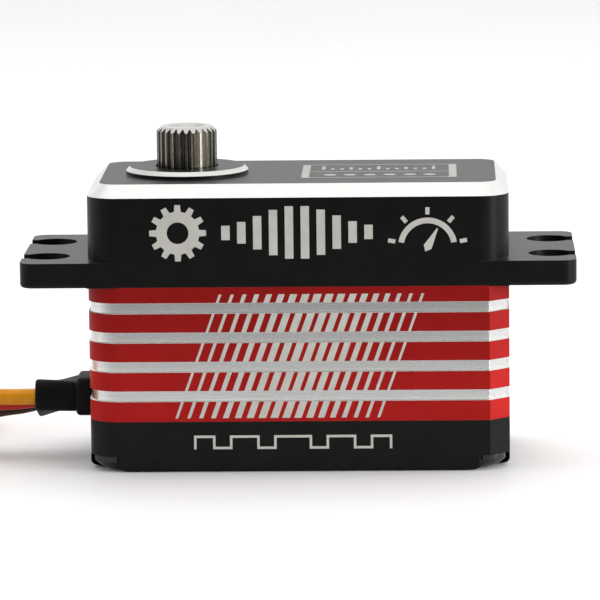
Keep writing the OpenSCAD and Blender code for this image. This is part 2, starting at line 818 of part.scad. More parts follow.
module cable_grommet() {
    face_x = -body_l / 2;
    mouth_x = -grommet_collar[0] - sleeve_l;
    mouth_drop = grommet_mouth_z - grommet_z;
    wire_slot = [4.6, 3 * wire_pitch + 0.06, wire_d + 0.04];
    room_root = [5.1, 1.9];
    room_mouth = [5.1, 1.95];
    room_drop = mouth_drop - 0.095;
    edge_r = 0.6;
    color("#101010") translate([face_x, 0, grommet_z]) difference() {
        union() {
            rounded_bar(grommet_collar, 2 * edge_r);
            hull() {
                sleeve_section(-grommet_collar[0] + 0.2, sleeve_root, 1.1, 0, 0);
                sleeve_section(mouth_x + thin, sleeve_mouth, 1.05, mouth_drop, mouth_tilt);
            }
            translate([grommet_neck[0] + eps, 0, 0])
                rounded_bar([grommet_neck[0] + 2 * eps, grommet_neck[1], grommet_neck[2]], edge_r);
            translate([wall + grommet_lip[0], 0, 0]) rounded_bar(grommet_lip, edge_r);
        }
        translate([3, 0, 0]) rounded_bar(wire_slot, wire_d / 2);
        hull() {
            sleeve_section(-grommet_collar[0] + 0.3, room_root, 0.9, 0, 0);
            sleeve_section(mouth_x - 0.2, room_mouth, 0.9, room_drop, mouth_tilt);
        }
    }
}

// The lead's middle line: each entry is [x, y, z, heading x, heading y, tilt, wire pitch]. A tilt of
// 0 lays the three wires flat, and 90 stands them on edge with the signal wire on top.
function ease(t) = let (u = max(0, min(1, t))) u * u * (3 - 2 * u);
function mix(a, b, t) = a + (b - a) * ease(t);
lead_start = [-16.4, 0, board_z + board_t];
bend_r = 1.2;
turn_steps = 12;
first_leg = [each [-19:-1:-35], each [-37:-2:-lead_reach + 1]];
leg_tilt = [[-45, 90], [-41, 82], [-37, 64], [-33, 44], [-29.7, 30.5],
    [-28, 26.5], [-26.5, 21], [-24, 9], [-22, 0]];
leg_z = [[-46, edge_z], [-43, edge_z + 0.25], [-39, edge_z + 1.05], [-35, 4.4], [-32, 4.95],
    [-29.7, 5.2], [-28, 5.29], [-26.5, 5.46], [-24, 5.87], [-22, grommet_z]];

// Height of the middle wire that keeps the lowest one just off the ground at each tilt
function lying_z(tilt) = plug[2] / 2 + (edge_z - plug[2] / 2) * sin(tilt);

lead_line = concat(
    [[lead_start[0], 0, lead_start[2] + 0.05, -1, 0, 0, wire_pitch]],
    [for (a = [0:30:90])
        [lead_start[0] - bend_r * (1 - cos(a)), 0, grommet_z - bend_r * (1 - sin(a)), -1, 0, 0, wire_pitch]],
    [for (x = first_leg) [x, 0, lookup(x, leg_z), -1, 0, lookup(x, leg_tilt), wire_pitch]],
    [for (i = [0:turn_steps]) let (a = -90 - 180 * i / turn_steps)
        [-lead_reach + lead_turn * cos(a), lead_turn + lead_turn * sin(a), edge_z,
            sin(a), -cos(a), 90, wire_pitch]],
    [for (i = [1:3]) [mix(-lead_reach, -lead_back, i / 4), 2 * lead_turn, edge_z, 1, 0, 90, wire_pitch]],
    [for (i = [0:turn_steps])
        let (a = -90 + 180 * i / turn_steps, tilt = mix(90, 0, max(0, i / turn_steps - 0.5)))
        [-lead_back + lead_turn * cos(a), 3 * lead_turn + lead_turn * sin(a), lying_z(tilt),
            -sin(a), cos(a), tilt, wire_pitch]],
    [for (i = [1:5]) let (t = i / 5, tilt = mix(90, 0, 0.5 + t / 2))
        [-lead_back - (-plug_x - lead_back) * t, plug_y, lying_z(tilt), -1, 0, tilt,
            mix(wire_pitch, plug_pitch, t)]],
    [[plug_x - 3.5, plug_y, plug[2] / 2, -1, 0, 0, plug_pitch]]
);
lead_n = len(lead_line);
function spot(i) = [for (k = [0:2]) lead_line[max(0, min(lead_n - 1, i))][k]];

// The point of wire `side` (-1, 0 or 1) at entry i of the line, offset square to the line
function wire_point(i, side) =
    let (
        p = lead_line[i],
        along = unit(spot(i + 1) - spot(i - 1)),
        left = [-p[4], p[3], 0]
    )
    spot(i) + side * p[6] * (cos(p[5]) * left + sin(p[5]) * cross(along, left));
function unit(v) = v / norm(v);

// A round wire along the lead's line, as rings of points joined by triangles
module wire(side) {
    sides = 12;
    points = [for (i = [0:lead_n - 1]) wire_point(i, side)];
    n = lead_n;
    rings = [for (i = [0:n - 1])
        let (
            along = unit(points[min(i + 1, n - 1)] - points[max(i - 1, 0)]),
            across = unit(cross(along, cross([-lead_line[i][4], lead_line[i][3], 0], along))),
            up = cross(along, across)
        )
        for (k = [0:sides - 1]) let (a = k * 360 / sides)
            points[i] + wire_d / 2 * (cos(a) * across + sin(a) * up)];
    walls = [for (i = [0:n - 2], k = [0:sides - 1])
        let (a = i * sides + k, b = i * sides + (k + 1) % sides)
        each [[a, a + sides, b], [b, a + sides, b + sides]]];
    caps = [[for (k = [0:sides - 1]) k], [for (k = [sides - 1:-1:0]) (n - 1) * sides + k]];
    polyhedron(points = rings, faces = concat(walls, caps));
}

module signal_wire() {
    color("#f09a1a") wire(1);
}

module power_wire() {
    color("#c01c12") wire(0);
}

module ground_wire() {
    color("#4a2616") wire(-1);
}

// ---------------------------------------------------------------- plug

module plug_housing() {
    cell = [plug[0] + 2, 1.95, 1.85];
    window = [3.2, 1.4, 3];          // over each contact's locking tongue
    window_x = 8.5;
    key = 0.7;                       // side of the bar that cuts the keying bevels
    key_l = plug[0] - 4;
    color("#141414") translate([plug_x, plug_y, plug[2] / 2]) difference() {
        translate([-plug[0], -plug[1] / 2, -plug[2] / 2]) cube(plug);
        for (i = [-1, 0, 1]) {
            translate([-plug[0] - 1, i * plug_pitch - cell[1] / 2, -cell[2] / 2]) cube(cell);
            translate([-window_x, i * plug_pitch - window[1] / 2, 0]) cube(window);
        }
        for (s = [-1, 1]) translate([-plug[0] - 1, s * plug[1] / 2, plug[2] / 2]) rotate([45, 0, 0])
            translate([0, -key / 2, -key / 2]) cube([key_l + 1, key, key]);
    }
}

module plug_contacts() {
    box = [6.4, 1.75, 1.65];
    box_x = -plug[0] + 0.6;
    hole = 1.15;
    tail = [3, 1, 0.3];
    color("#cfa83e") for (i = [-1, 0, 1]) translate([plug_x, plug_y + i * plug_pitch, plug[2] / 2]) {
        difference() {
            translate([box_x, -box[1] / 2, -box[2] / 2]) cube(box);
            translate([-plug[0], -hole / 2, -hole / 2]) cube([box[0] - 1, hole, hole]);
        }
        translate([box_x + box[0] - 0.1, -tail[1] / 2, -0.75]) cube(tail);
    }
}

top_case();
middle_case();
bottom_cover();
case_screws();
output_shaft();
shaft_seal();
output_bearing_outer();
output_bearing_balls();
output_bearing_inner();
lower_bearing_outer();
lower_bearing_balls();
lower_bearing_inner();
third_gear_wheel();
third_gear_pinion();
second_gear_wheel();
second_gear_pinion();
first_gear_wheel();
first_gear_pinion();
idler_pin();
motor_pinion();
motor_can();
motor_end_cap();
motor_screws();
stator_core();
stator_windings();
rotor_magnet();
motor_shaft();
motor_bearing_outers();
motor_bearing_balls();
motor_bearing_inners();
sensor_housing();
sensor_track();
sensor_wiper();
sensor_leads();
circuit_board();
controller_chip();
power_transistors();
capacitors();
motor_leads();
cable_grommet();
signal_wire();
power_wire();
ground_wire();
plug_housing();
plug_contacts();
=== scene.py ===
"""Low-profile servo: materials, grommet, etched marks, floor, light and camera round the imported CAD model."""
import json
import math

import bmesh
import bpy
from mathutils import Matrix, Vector
from mathutils.geometry import tessellate_polygon


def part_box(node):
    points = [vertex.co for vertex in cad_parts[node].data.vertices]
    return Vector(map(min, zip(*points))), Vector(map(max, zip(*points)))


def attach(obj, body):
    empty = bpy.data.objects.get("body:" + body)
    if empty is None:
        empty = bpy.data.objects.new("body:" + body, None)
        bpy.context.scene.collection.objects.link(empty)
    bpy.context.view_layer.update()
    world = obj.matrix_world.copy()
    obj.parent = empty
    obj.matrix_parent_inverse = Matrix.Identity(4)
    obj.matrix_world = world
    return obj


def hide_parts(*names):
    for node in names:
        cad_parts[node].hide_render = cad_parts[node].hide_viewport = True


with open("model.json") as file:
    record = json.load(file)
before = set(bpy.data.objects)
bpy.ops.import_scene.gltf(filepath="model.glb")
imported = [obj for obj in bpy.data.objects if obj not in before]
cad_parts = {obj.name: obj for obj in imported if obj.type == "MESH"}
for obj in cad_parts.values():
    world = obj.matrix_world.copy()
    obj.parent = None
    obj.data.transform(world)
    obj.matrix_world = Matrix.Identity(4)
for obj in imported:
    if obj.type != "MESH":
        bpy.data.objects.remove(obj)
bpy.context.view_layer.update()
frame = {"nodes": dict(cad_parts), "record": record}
nodes = frame["nodes"]
MM = 0.001

# Sizes of the CAD model that its boxes don't give, in millimetres
CASE_H = 28.0
BEVEL = 1.22
CORNER_R = 3.0
GROOVE_N, GROOVE_Z, GROOVE_H, GROOVE_PITCH = 4, 7.44, 1.05, 2.87
LEAD_Z = 6.1


def box_mm(node):
    return [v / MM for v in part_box(node)]


case_lo, case_hi = box_mm("middle_case")
body_l = case_hi.x - case_lo.x
body_w = case_hi.y - case_lo.y
cover_h = case_lo.z
shaft_top = box_mm("output_shaft")[1].z
out_x = sum(v.x for v in box_mm("second_gear_wheel")) / 2


# ---------------------------------------------------------------- shader nodes

def feed(tree, target, value):
    """Links a socket to target, or sets target to a plain value or colour."""
    if isinstance(value, bpy.types.NodeSocket):
        tree.links.new(value, target)
    elif isinstance(value, tuple):
        target.default_value = (*value, 1)
    else:
        target.default_value = value


def smooth_ramp(tree, value, lo, hi, a=0.0, b=1.0):
    """Goes smoothly from a to b as value goes from lo to hi."""
    n = tree.nodes.new("ShaderNodeMapRange")
    n.interpolation_type = "SMOOTHSTEP"
    for key, v in (("Value", value), ("From Min", lo), ("From Max", hi), ("To Min", a), ("To Max", b)):
        feed(tree, n.inputs[key], v)
    return n.outputs["Result"]


def arithmetic(tree, operation, a, b=0.0):
    n = tree.nodes.new("ShaderNodeMath")
    n.operation = operation
    feed(tree, n.inputs[0], a)
    feed(tree, n.inputs[1], b)
    return n.outputs[0]


class Mat:
    """A node material in millimetre object coordinates, round one Principled shader."""

    def __init__(self, name):
        self.material = bpy.data.materials.new(name)
        self.material.use_nodes = True
        self.tree = self.material.node_tree
        self.shader = self.tree.nodes["Principled BSDF"]
        coord = self.tree.nodes.new("ShaderNodeTexCoord")
        self.mm = self.mapping(coord.outputs["Object"], (1000, 1000, 1000))

    def put(self, socket, value):
        feed(self.tree, self.shader.inputs[socket], value)

    def mapping(self, vector, scale):
        n = self.tree.nodes.new("ShaderNodeMapping")
        n.inputs["Scale"].default_value = scale
        feed(self.tree, n.inputs["Vector"], vector)
        return n.outputs["Vector"]

    def axis(self, letter):
        n = self.tree.nodes.new("ShaderNodeSeparateXYZ")
        feed(self.tree, n.inputs[0], self.mm)
        return n.outputs[letter]

    def noise(self, scale, detail=3, stretch=(1, 1, 1), rough=0.55):
        n = self.tree.nodes.new("ShaderNodeTexNoise")
        n.inputs["Scale"].default_value = scale
        n.inputs["Detail"].default_value = detail
        n.inputs["Roughness"].default_value = rough
        feed(self.tree, n.inputs["Vector"], self.mapping(self.mm, stretch))
        return n.outputs["Fac"]

    def ramp(self, value, lo, hi, a=0.0, b=1.0):
        return smooth_ramp(self.tree, value, lo, hi, a, b)

    def math(self, operation, a, b=0.0):
        return arithmetic(self.tree, operation, a, b)

    def mix(self, factor, a, b):
        n = self.tree.nodes.new("ShaderNodeMix")
        n.data_type = "RGBA"
        for key, v in ((0, factor), (6, a), (7, b)):
            feed(self.tree, n.inputs[key], v)
        return n.outputs[2]

    def bump(self, height, depth, normal=None):
        """depth in millimetres."""
        n = self.tree.nodes.new("ShaderNodeBump")
        n.inputs["Distance"].default_value = depth * MM
        feed(self.tree, n.inputs["Height"], height)
        if normal is not None:
            feed(self.tree, n.inputs["Normal"], normal)
        return n.outputs["Normal"]

    def soft_edges(self, radius):
        """Normals rounded over radius millimetres at each edge, and a mask of those edges."""
        n = self.tree.nodes.new("ShaderNodeBevel")
        n.samples = 6
        n.inputs["Radius"].default_value = radius * MM
        flat = self.tree.nodes.new("ShaderNodeNewGeometry")
        dot = self.tree.nodes.new("ShaderNodeVectorMath")
        dot.operation = "DOT_PRODUCT"
        feed(self.tree, dot.inputs[0], n.outputs["Normal"])
        feed(self.tree, dot.inputs[1], flat.outputs["Normal"])
        return n.outputs["Normal"], self.ramp(dot.outputs["Value"], 0.99, 0.86)


# ---------------------------------------------------------------- materials

RINGED = (0.25, 0.25, 9)     # the noise's stretch for tool lines that run level round the case


def anodised(name, base, deep, worn, rough, specular, metallic=0.0, wear=0.5, painted_top_shade=None):
    """Bead-blasted, dyed aluminium: fine grain, faint mottling, and rubbed edges.
    The last argument, (low z, high z, amount), is painted shade: the colour is darker by that amount at the
    high end, where less light comes up from the floor."""
    m = Mat(name)
    normal, edges = m.soft_edges(0.12)
    mottle = m.ramp(m.noise(0.35, 4), 0.3, 0.7)
    specks = m.ramp(m.noise(5.5, 3), 0.66, 0.74)
    colour = m.mix(mottle, base, deep)
    # painted shade: the colour darkens towards the top, in place of the lesser light falling there
    if painted_top_shade:
        low, high, amount = painted_top_shade
        colour = m.mix(m.ramp(m.axis("Z"), low, high, 0.0, amount), colour, (0.0, 0.0, 0.0))
    colour = m.mix(m.math("MULTIPLY", specks, 0.12), colour, worn)
    rub = m.math("MULTIPLY", edges, m.ramp(m.noise(0.9, 4), 0.35, 0.65, 0.25 * wear, wear))
    m.put("Base Color", m.mix(rub, colour, worn))
    m.put("Metallic", metallic)
    m.put("Specular IOR Level", specular)
    m.put("Roughness", m.ramp(m.noise(0.5, 3), 0.25, 0.75, rough - 0.008, rough + 0.008))
    m.put("Normal", m.bump(m.noise(14, 2), 0.0008, normal))
    return m.material


def cut_metal(name, base, rough, streak, depth=0.004, deep=None, edge=0.06, metallic=1.0):
    """Bare machined metal with tool lines; streak is the noise's stretch along each axis."""
    m = Mat(name)
    normal, edges = m.soft_edges(edge)
    lines = m.noise(1.0, 3, streak, 0.7)
    stain = m.ramp(m.noise(0.45, 4), 0.3, 0.75)
    deep = deep or tuple(c * 0.82 for c in base)
    worn = tuple(min(1, c * 1.1) for c in base)
    colour = m.mix(m.ramp(lines, 0.3, 0.7, 0.0, 0.6), base, deep)
    colour = m.mix(m.math("MULTIPLY", stain, 0.25), colour, deep)
    m.put("Base Color", m.mix(m.math("MULTIPLY", edges, 0.4), colour, worn))
    m.put("Metallic", metallic)
    line_rough = m.ramp(lines, 0.3, 0.7, rough - 0.04, rough + 0.05)
    m.put("Roughness", m.math("ADD", line_rough, m.math("MULTIPLY", stain, 0.05)))
    m.put("Normal", m.bump(lines, depth, normal))
    return m.material


def moulded(name, base, deep, rough, specular=0.5, grain=0.012, grain_scale=9.0, coat=0.0):
    """Moulded plastic or rubber: skin grain, faint flow marks and dust."""
    m = Mat(name)
    normal, edges = m.soft_edges(0.1)
    flow = m.ramp(m.noise(0.5, 4, (1, 1, 0.5)), 0.3, 0.7)
    dust = m.ramp(m.noise(7, 3), 0.68, 0.78, 0, 0.1)
    pale = tuple(min(1, c * 1.5 + 0.03) for c in base)
    paleness = m.math("ADD", dust, m.math("MULTIPLY", edges, 0.12))
    m.put("Base Color", m.mix(paleness, m.mix(flow, base, deep), pale))
    m.put("Specular IOR Level", specular)
    m.put("Coat Weight", coat)
    m.put("Coat Roughness", 0.25)
    m.put("Roughness", m.ramp(m.noise(1.6, 4), 0.25, 0.75, rough - 0.06, rough + 0.07))
    m.put("Normal", m.bump(m.noise(grain_scale, 2), grain, normal))
    return m.material


def insulation(name, base, deep):
    """A wire's soft, faintly glossy skin."""
    return moulded(name, base, deep, 0.42, 0.22, 0.006, 5, 0.1)


def laser_mark(name, base, specular):
    """A laser-etched mark: warm pale grey, matt, with the laser's fine raster."""
    m = Mat(name)
    raster = m.noise(1.0, 2, (1.5, 1.5, 22))
    m.put("Base Color", m.mix(m.ramp(m.noise(0.8, 4), 0.3, 0.7), base, tuple(c * 0.9 for c in base)))
    m.put("Metallic", 0.25)
    m.put("Specular IOR Level", specular)
    m.put("Roughness", m.ramp(raster, 0.3, 0.7, 0.5, 0.62))
    m.put("Normal", m.bump(raster, 0.004))
    return m.material


def groove_metal(name, lower, upper, line):
    """Turned aluminium in the case's grooves, lighter at each groove's lower edge as a painted highlight, and
    darker and bluer towards its upper wall as painted shade.
    """
    m = Mat(name)
    normal, _ = m.soft_edges(0.1)
    turns = m.math("DIVIDE", m.math("SUBTRACT", m.axis("Z"), GROOVE_Z - GROOVE_H / 2), GROOVE_PITCH)
    height = m.math("MULTIPLY", m.math("FRACT", turns), GROOVE_PITCH / GROOVE_H)
    lines = m.noise(1.0, 3, RINGED, 0.7)
    # painted light across each groove's height: the lower tone is a painted highlight, the upper tone painted
    # shade
    colour = m.mix(m.ramp(height, 0.18, 0.5), lower, upper)
    m.put("Base Color", m.mix(m.ramp(lines, 0.3, 0.7, 0.0, 0.35), colour, line))
    m.put("Metallic", 1.0)
    m.put("Roughness", m.ramp(lines, 0.3, 0.7, 0.22, 0.3))
    m.put("Normal", m.bump(lines, 0.0015, normal))
    return m.material


# What each material's maker is given after the name
LOOKS = {
    anodised: {     # base, deep, worn, rough, specular, metallic, wear, painted shade towards the top
        "black_anodised": ((0.0085, 0.0085, 0.0083), (0.0062, 0.0063, 0.0062), (0.05, 0.05, 0.047),
                           0.34, 0.15),
        # red_anodised's last entry is painted shade, darker from z 5 mm up to z 18 mm
        "red_anodised": ((0.5, 0.0135, 0.0115), (0.45, 0.011, 0.0095), (0.62, 0.05, 0.05),
                         0.44, 0.17, 0.25, 0.35, (5, 18, 0.28)),
    },
    cut_metal: {    # base, rough, streak, depth, deep, edge, metallic
        "cut_aluminium": ((0.88, 0.877, 0.868), 0.24, RINGED, 0.0012, (0.84, 0.837, 0.825)),
        "collar_edge": ((0.77, 0.766, 0.748), 0.34, RINGED, 0.0012),
        "gear_steel": ((0.37, 0.348, 0.304), 0.2, (3, 3, 0.3), 0.002, (0.25, 0.234, 0.198), 0.04),
        "bright_steel": ((0.62, 0.612, 0.588), 0.22, (3, 3, 3), 0.003),
        "bearing_steel": ((0.72, 0.74, 0.76), 0.12, (2, 2, 8), 0.002),
        "pin_steel": ((0.7, 0.71, 0.72), 0.15, (1, 1, 9), 0.002),
        "black_steel": ((0.06, 0.06, 0.062), 0.16, (2, 2, 6), 0.001, (0.03, 0.03, 0.031), 0.08, 0.6),
        "brass": ((0.72, 0.5, 0.21), 0.22, (4, 4, 1), 0.003),
        "motor_aluminium": ((0.5, 0.51, 0.52), 0.3, (0.5, 0.5, 9)),
        "lamination_steel": ((0.3, 0.31, 0.32), 0.42, (0.3, 0.3, 14), 0.02),
        "copper": ((0.62, 0.24, 0.08), 0.28, (9, 9, 1), 0.02),
        "magnet": ((0.6, 0.61, 0.62), 0.22, (1, 1, 5)),
        "gold_plate": ((0.83, 0.6, 0.2), 0.2, (4, 1, 1)),
    },
    moulded: {      # base, deep, rough, specular, grain, grain_scale, coat
        "seal_rubber": ((0.0045, 0.0045, 0.0045), (0.0065, 0.0065, 0.006), 0.55, 0.16, 0.008, 6),
        "plug_plastic": ((0.012, 0.012, 0.012), (0.017, 0.017, 0.017), 0.45, 0.45),
        "moulded_plastic": ((0.035, 0.037, 0.04), (0.028, 0.03, 0.033), 0.45),
        "carbon_track": ((0.02, 0.02, 0.02), (0.03, 0.03, 0.03), 0.6),
        "wiper_plastic": ((0.62, 0.58, 0.48), (0.55, 0.51, 0.41), 0.4),
        "board": ((0.012, 0.1, 0.045), (0.008, 0.07, 0.035), 0.3, 0.5, 0.012, 9.0, 0.5),
        "chip_plastic": ((0.012, 0.012, 0.014), (0.018, 0.018, 0.02), 0.5),
        "capacitor": ((0.55, 0.27, 0.05), (0.5, 0.22, 0.04), 0.35),
    },
    insulation: {   # base, deep
        "orange_insulation": ((1.0, 0.41, 0.012), (0.92, 0.34, 0.009)),
        "red_insulation": ((0.67, 0.028, 0.014), (0.58, 0.021, 0.011)),
        "brown_insulation": ((0.075, 0.026, 0.014), (0.055, 0.019, 0.011)),
    },
    laser_mark: {   # base, specular
        "laser_mark": ((0.73, 0.716, 0.662), 0.5),
        # the same laser mark, darker and duller for the top face: painted shade that evens out the stronger
        # light falling there
        "laser_mark_top_shaded": ((0.42, 0.413, 0.39), 0.15),
    },
    groove_metal: {     # lower (painted highlight), upper (painted shade), line
        "groove_metal": ((0.93, 0.912, 0.878), (0.82, 0.822, 0.82), (0.75, 0.75, 0.75)),
    },
}
MATERIALS = {name: make(name, *look) for make, looks in LOOKS.items() for name, look in looks.items()}


def dress_nodes():
    """Gives each CAD node the material of its slot in the record, with smooth shading between its edges."""
    for entry in frame["record"]["subparts"]:
        mesh = nodes[entry["node"]].data
        mesh.materials.clear()
        mesh.materials.append(MATERIALS[entry["material_slot"]])
        for p in mesh.polygons:
            p.material_index = 0
            p.use_smooth = True
        mesh.set_sharp_from_angle(angle=math.radians(28))


def paint(node, material, wanted):
    """Gives material to the faces of a CAD node for which wanted(centre in mm, normal) is true."""
    mesh = nodes[node].data
    mesh.materials.append(MATERIALS[material])
    index = len(mesh.materials) - 1
    for p in mesh.polygons:
        if wanted(p.center / MM, p.normal):
            p.material_index = index


def slopes_up(normal):
    return 0.2 < normal.z < 0.95


def on_bevel(c, normal):
    return CASE_H - BEVEL - 0.03 < c.z < CASE_H and slopes_up(normal)


def on_collar_edge(c, normal):
    inner_r = 4      # slopes nearer the shaft stay as they are
    return c.z > CASE_H + 0.05 and slopes_up(normal) and math.hypot(c.x - out_x, c.y) > inner_r


def in_groove(c, normal):
    skin = 1.3       # a groove's faces lie within this of the case's outside
    near_wall = abs(c.y) > body_w / 2 - skin or abs(c.x) > body_l / 2 - skin
    near_corner = abs(c.x) + abs(c.y) > body_l / 2 + body_w / 2 - CORNER_R
    at_groove = any(abs(c.z - GROOVE_Z - GROOVE_PITCH * i) < GROOVE_H / 2 + 0.015 for i in range(GROOVE_N))
    return at_groove and (near_wall or near_corner)


def on_spline_end(c, normal):
    return c.z > shaft_top - 0.7 and normal.z > 0.3


dress_nodes()
paint("top_case", "cut_aluminium", on_bevel)
paint("top_case", "collar_edge", on_collar_edge)
paint("middle_case", "groove_metal", in_groove)
paint("output_shaft", "bright_steel", on_spline_end)


# ---------------------------------------------------------------- pieces of our own

def add_piece(name, bm, material):
    """Turns a bmesh, in metres, into an object of the scene."""
    bmesh.ops.recalc_face_normals(bm, faces=bm.faces)
    mesh = bpy.data.meshes.new(name)
    bm.to_mesh(mesh)
    bm.free()
    mesh.materials.append(material)
    obj = bpy.data.objects.new(name, mesh)
    bpy.context.scene.collection.objects.link(obj)
    return obj


def section(x, wide, tall, r, drop=0.0, tilt=0.0):
    """A rounded rectangle across the lead, as a ring of points in mm; tilt turns its front edge up."""
    steps = 8
    c, s = math.cos(math.radians(tilt)), math.sin(math.radians(tilt))
    ring = []
    for k, (sy, sz) in enumerate(((1, 1), (-1, 1), (-1, -1), (1, -1))):
        for i in range(steps + 1):
            a = math.radians(90 * (k + i / steps))
            y = sy * (wide / 2 - r) + r * math.cos(a)
            z = sz * (tall / 2 - r) + r * math.sin(a)
            ring.append(Vector((x, y * c + z * s, LEAD_Z + drop - y * s + z * c)))
    return ring


def rounded_end(x0, x1, wide, tall, r, fillet, **place):
    """Rings that round the edge a bar ends in at x1, coming from x0."""
    step = fillet if x1 > x0 else -fillet
    rings = []
    for i in range(5):
        a = math.radians(90 * i / 4)
        inset = 2 * fillet * (1 - math.cos(a))
        x = x1 - step + step * math.sin(a)
        rings.append(section(x, wide - inset, tall - inset, max(r - inset / 2, 0.2), **place))
    return rings


def grommet():
    """One moulded tube: inner lip, neck, collar, and the sleeve that tapers and twists with the wires."""
    lo, hi = box_mm("cable_grommet")
    face = case_lo.x
    lip = (6.2, 2.4, 0.6)
    neck = (5.4, 2.2, 0.6)
    collar = (6.4, 3.75, 1.2)
    collar_end = face - 1.75
    mouth_drop, mouth_tilt = -0.455, 19
    mouth = (5.6, 3.15, 1.05)
    room_wide, room_drop = 5.06, -0.55
    rings = [section(hi.x, 6.0, 2.2, 0.55), section(hi.x - 0.1, *lip), section(face + 1.45, *lip),
             section(face + 1.4, *neck), section(face + 0.02, *neck)]
    rings += rounded_end(face - 1, face, *collar, 0.2)[::-1]
    rings += [section(face - 0.8, *collar)]
    rings += rounded_end(face, collar_end, *collar, 0.4)
    rings += [section(collar_end - 0.03, 5.62, 3.0, 1.1), section(collar_end - 0.15, 5.72, 2.98, 1.1)]
    for i in range(1, 8):
        t = i / 8
        rings.append(section(collar_end - 0.15 - 3.55 * t, 5.72 - 0.1 * t, 2.98 + 0.17 * t, 1.08,
                             mouth_drop * t, mouth_tilt * t))
    rings += rounded_end(face - 4, lo.x, *mouth, 0.3, drop=mouth_drop, tilt=mouth_tilt)
    # Back inside, along the room for the wires
    rings += [section(lo.x + 0.02, room_wide, 1.96, 0.9, room_drop, mouth_tilt)]
    for t in (0.25, 0.5, 0.75, 1.0):
        rings.append(section(lo.x + 4 * t, room_wide, 1.9, 0.9, room_drop * (1 - t), mouth_tilt * (1 - t)))
    rings += [section(face - 1.5, room_wide, 1.8, 0.85), section(hi.x, 5.0, 1.7, 0.8)]

    bm = bmesh.new()
    loops = [[bm.verts.new(p * MM) for p in ring] for ring in rings]
    n = len(rings[0])
    for a, b in zip(loops, loops[1:] + loops[:1]):
        for i in range(n):
            k = (i + 1) % n
            bm.faces.new((a[i], a[k], b[k], b[i]))
    obj = add_piece("grommet_rubber", bm, MATERIALS["seal_rubber"])
    for p in obj.data.polygons:
        p.use_smooth = True
    obj.data.set_sharp_from_angle(angle=math.radians(40))
    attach(obj, "case")
    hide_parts("cable_grommet")


grommet()


# ---------------------------------------------------------------- etched marks

def front(u, v, h):
    """A point on the case's front at u along X and v up, h proud of it."""
    return Vector((u, -body_w / 2 - h, v))


def top(u, v, h):
    return Vector((u, v, CASE_H + h))


def etch(name, shapes, place, mark="laser_mark"):
    """One mesh of closed, thin, flat shapes. Each is a list of loops: its outline, then its holes."""
    proud, sunk = 0.02, -0.01
    bm = bmesh.new()
    for loops in shapes:
        points = [p for loop in loops for p in loop]
        low = [bm.verts.new(place(u, v, sunk) * MM) for u, v in points]
        high = [bm.verts.new(place(u, v, proud) * MM) for u, v in points]
        for tri in tessellate_polygon([[Vector((u, v, 0)) for u, v in loop] for loop in loops]):
            bm.faces.new([high[i] for i in tri])
            bm.faces.new([low[i] for i in reversed(tri)])
        start = 0
        for loop in loops:
            n = len(loop)
            for i in range(n):
                a, b = start + i, start + (i + 1) % n
                bm.faces.new((low[a], low[b], high[b], high[a]))
            start += n
    obj = add_piece(name, bm, MATERIALS[mark])
    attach(obj, "case")


def rect(u0, v0, u1, v1):
    return [[(u0, v0), (u1, v0), (u1, v1), (u0, v1)]]


def around(cu, cv, r, degrees):
    a = math.radians(degrees)
    return cu + r * math.cos(a), cv + r * math.sin(a)


def circle(cu, cv, r, n):
    return [around(cu, cv, r, 360 * i / n) for i in range(n)]


def ring_part(cu, cv, r0, r1, a0, a1, n=24):
    turn = [a0 + (a1 - a0) * i / n for i in range(n + 1)]
    return [[around(cu, cv, r1, a) for a in turn] + [around(cu, cv, r0, a) for a in reversed(turn)]]


def spoke(cu, cv, degrees, points):
    """A shape given as (distance from the centre, offset to the left), turned to degrees."""
    c, s = math.cos(math.radians(degrees)), math.sin(math.radians(degrees))
    return [[(cu + r * c - w * s, cv + r * s + w * c) for r, w in points]]


def gear_shape(cu, cv, r_root, r_tip, teeth, bore):
    outline = [around(cu, cv, r, (i + f) * 360 / teeth) for i in range(teeth)
               for r, f in ((r_root, -0.3), (r_tip, -0.19), (r_tip, 0.19), (r_root, 0.3))]
    return [outline, circle(cu, cv, bore, 40)]


def mark_front_top():
    """A gear, a row of level bars and a travel dial on the front of the top case."""
    mid_z = 23.4
    bars, bar_u, bar_pitch, bar_w = 10, -7.3, 1.53, 0.82
    shapes = [gear_shape(-11.5, mid_z, 2.1, 2.75, 12, 1.05)]
    for i in range(bars):
        half = 0.65 + 1.95 * math.sin(math.pi * (i + 0.5) / bars) ** 2
        u = bar_u + i * bar_pitch
        shapes.append(rect(u, mid_z - half, u + bar_w, mid_z + half))
    dial = (12.55, mid_z - 1.5)
    shapes.append(ring_part(*dial, 2.3, 2.85, 10, 170))
    for a in range(10, 171, 40):
        shapes.append(spoke(*dial, a, ((3.15, -0.2), (3.85, -0.2), (3.85, 0.2), (3.15, 0.2))))
    shapes.append(spoke(*dial, 62, ((0, -0.42), (2.05, -0.06), (2.05, 0.06), (0, 0.42), (-0.5, 0))))
    etch("mark_front_top", shapes, front)


def mark_front_hatch():
    """Slanted hatching on the red bands, all one way, finest at both ends."""
    bars, bar_u, bar_pitch, lean = 18, -12.1, 1.15, 0.36
    edges = [cover_h + 0.35]
    for i in range(GROOVE_N):
        edges += [GROOVE_Z + GROOVE_PITCH * i + s * GROOVE_H / 2 for s in (-1, 1)]
    edges.append(17.4)
    shapes = []
    for i in range(bars):
        width = 0.25 + 0.5 * math.sin(math.pi * (i + 0.5) / bars) ** 1.5
        for z0, z1 in zip(edges[::2], edges[1::2]):
            u0, u1 = (bar_u + i * bar_pitch + lean * (z - cover_h) for z in (z0, z1))
            shapes.append([[(u0, z0), (u0 + width, z0), (u1 + width, z1), (u1, z1)]])
    etch("mark_front_hatch", shapes, front)


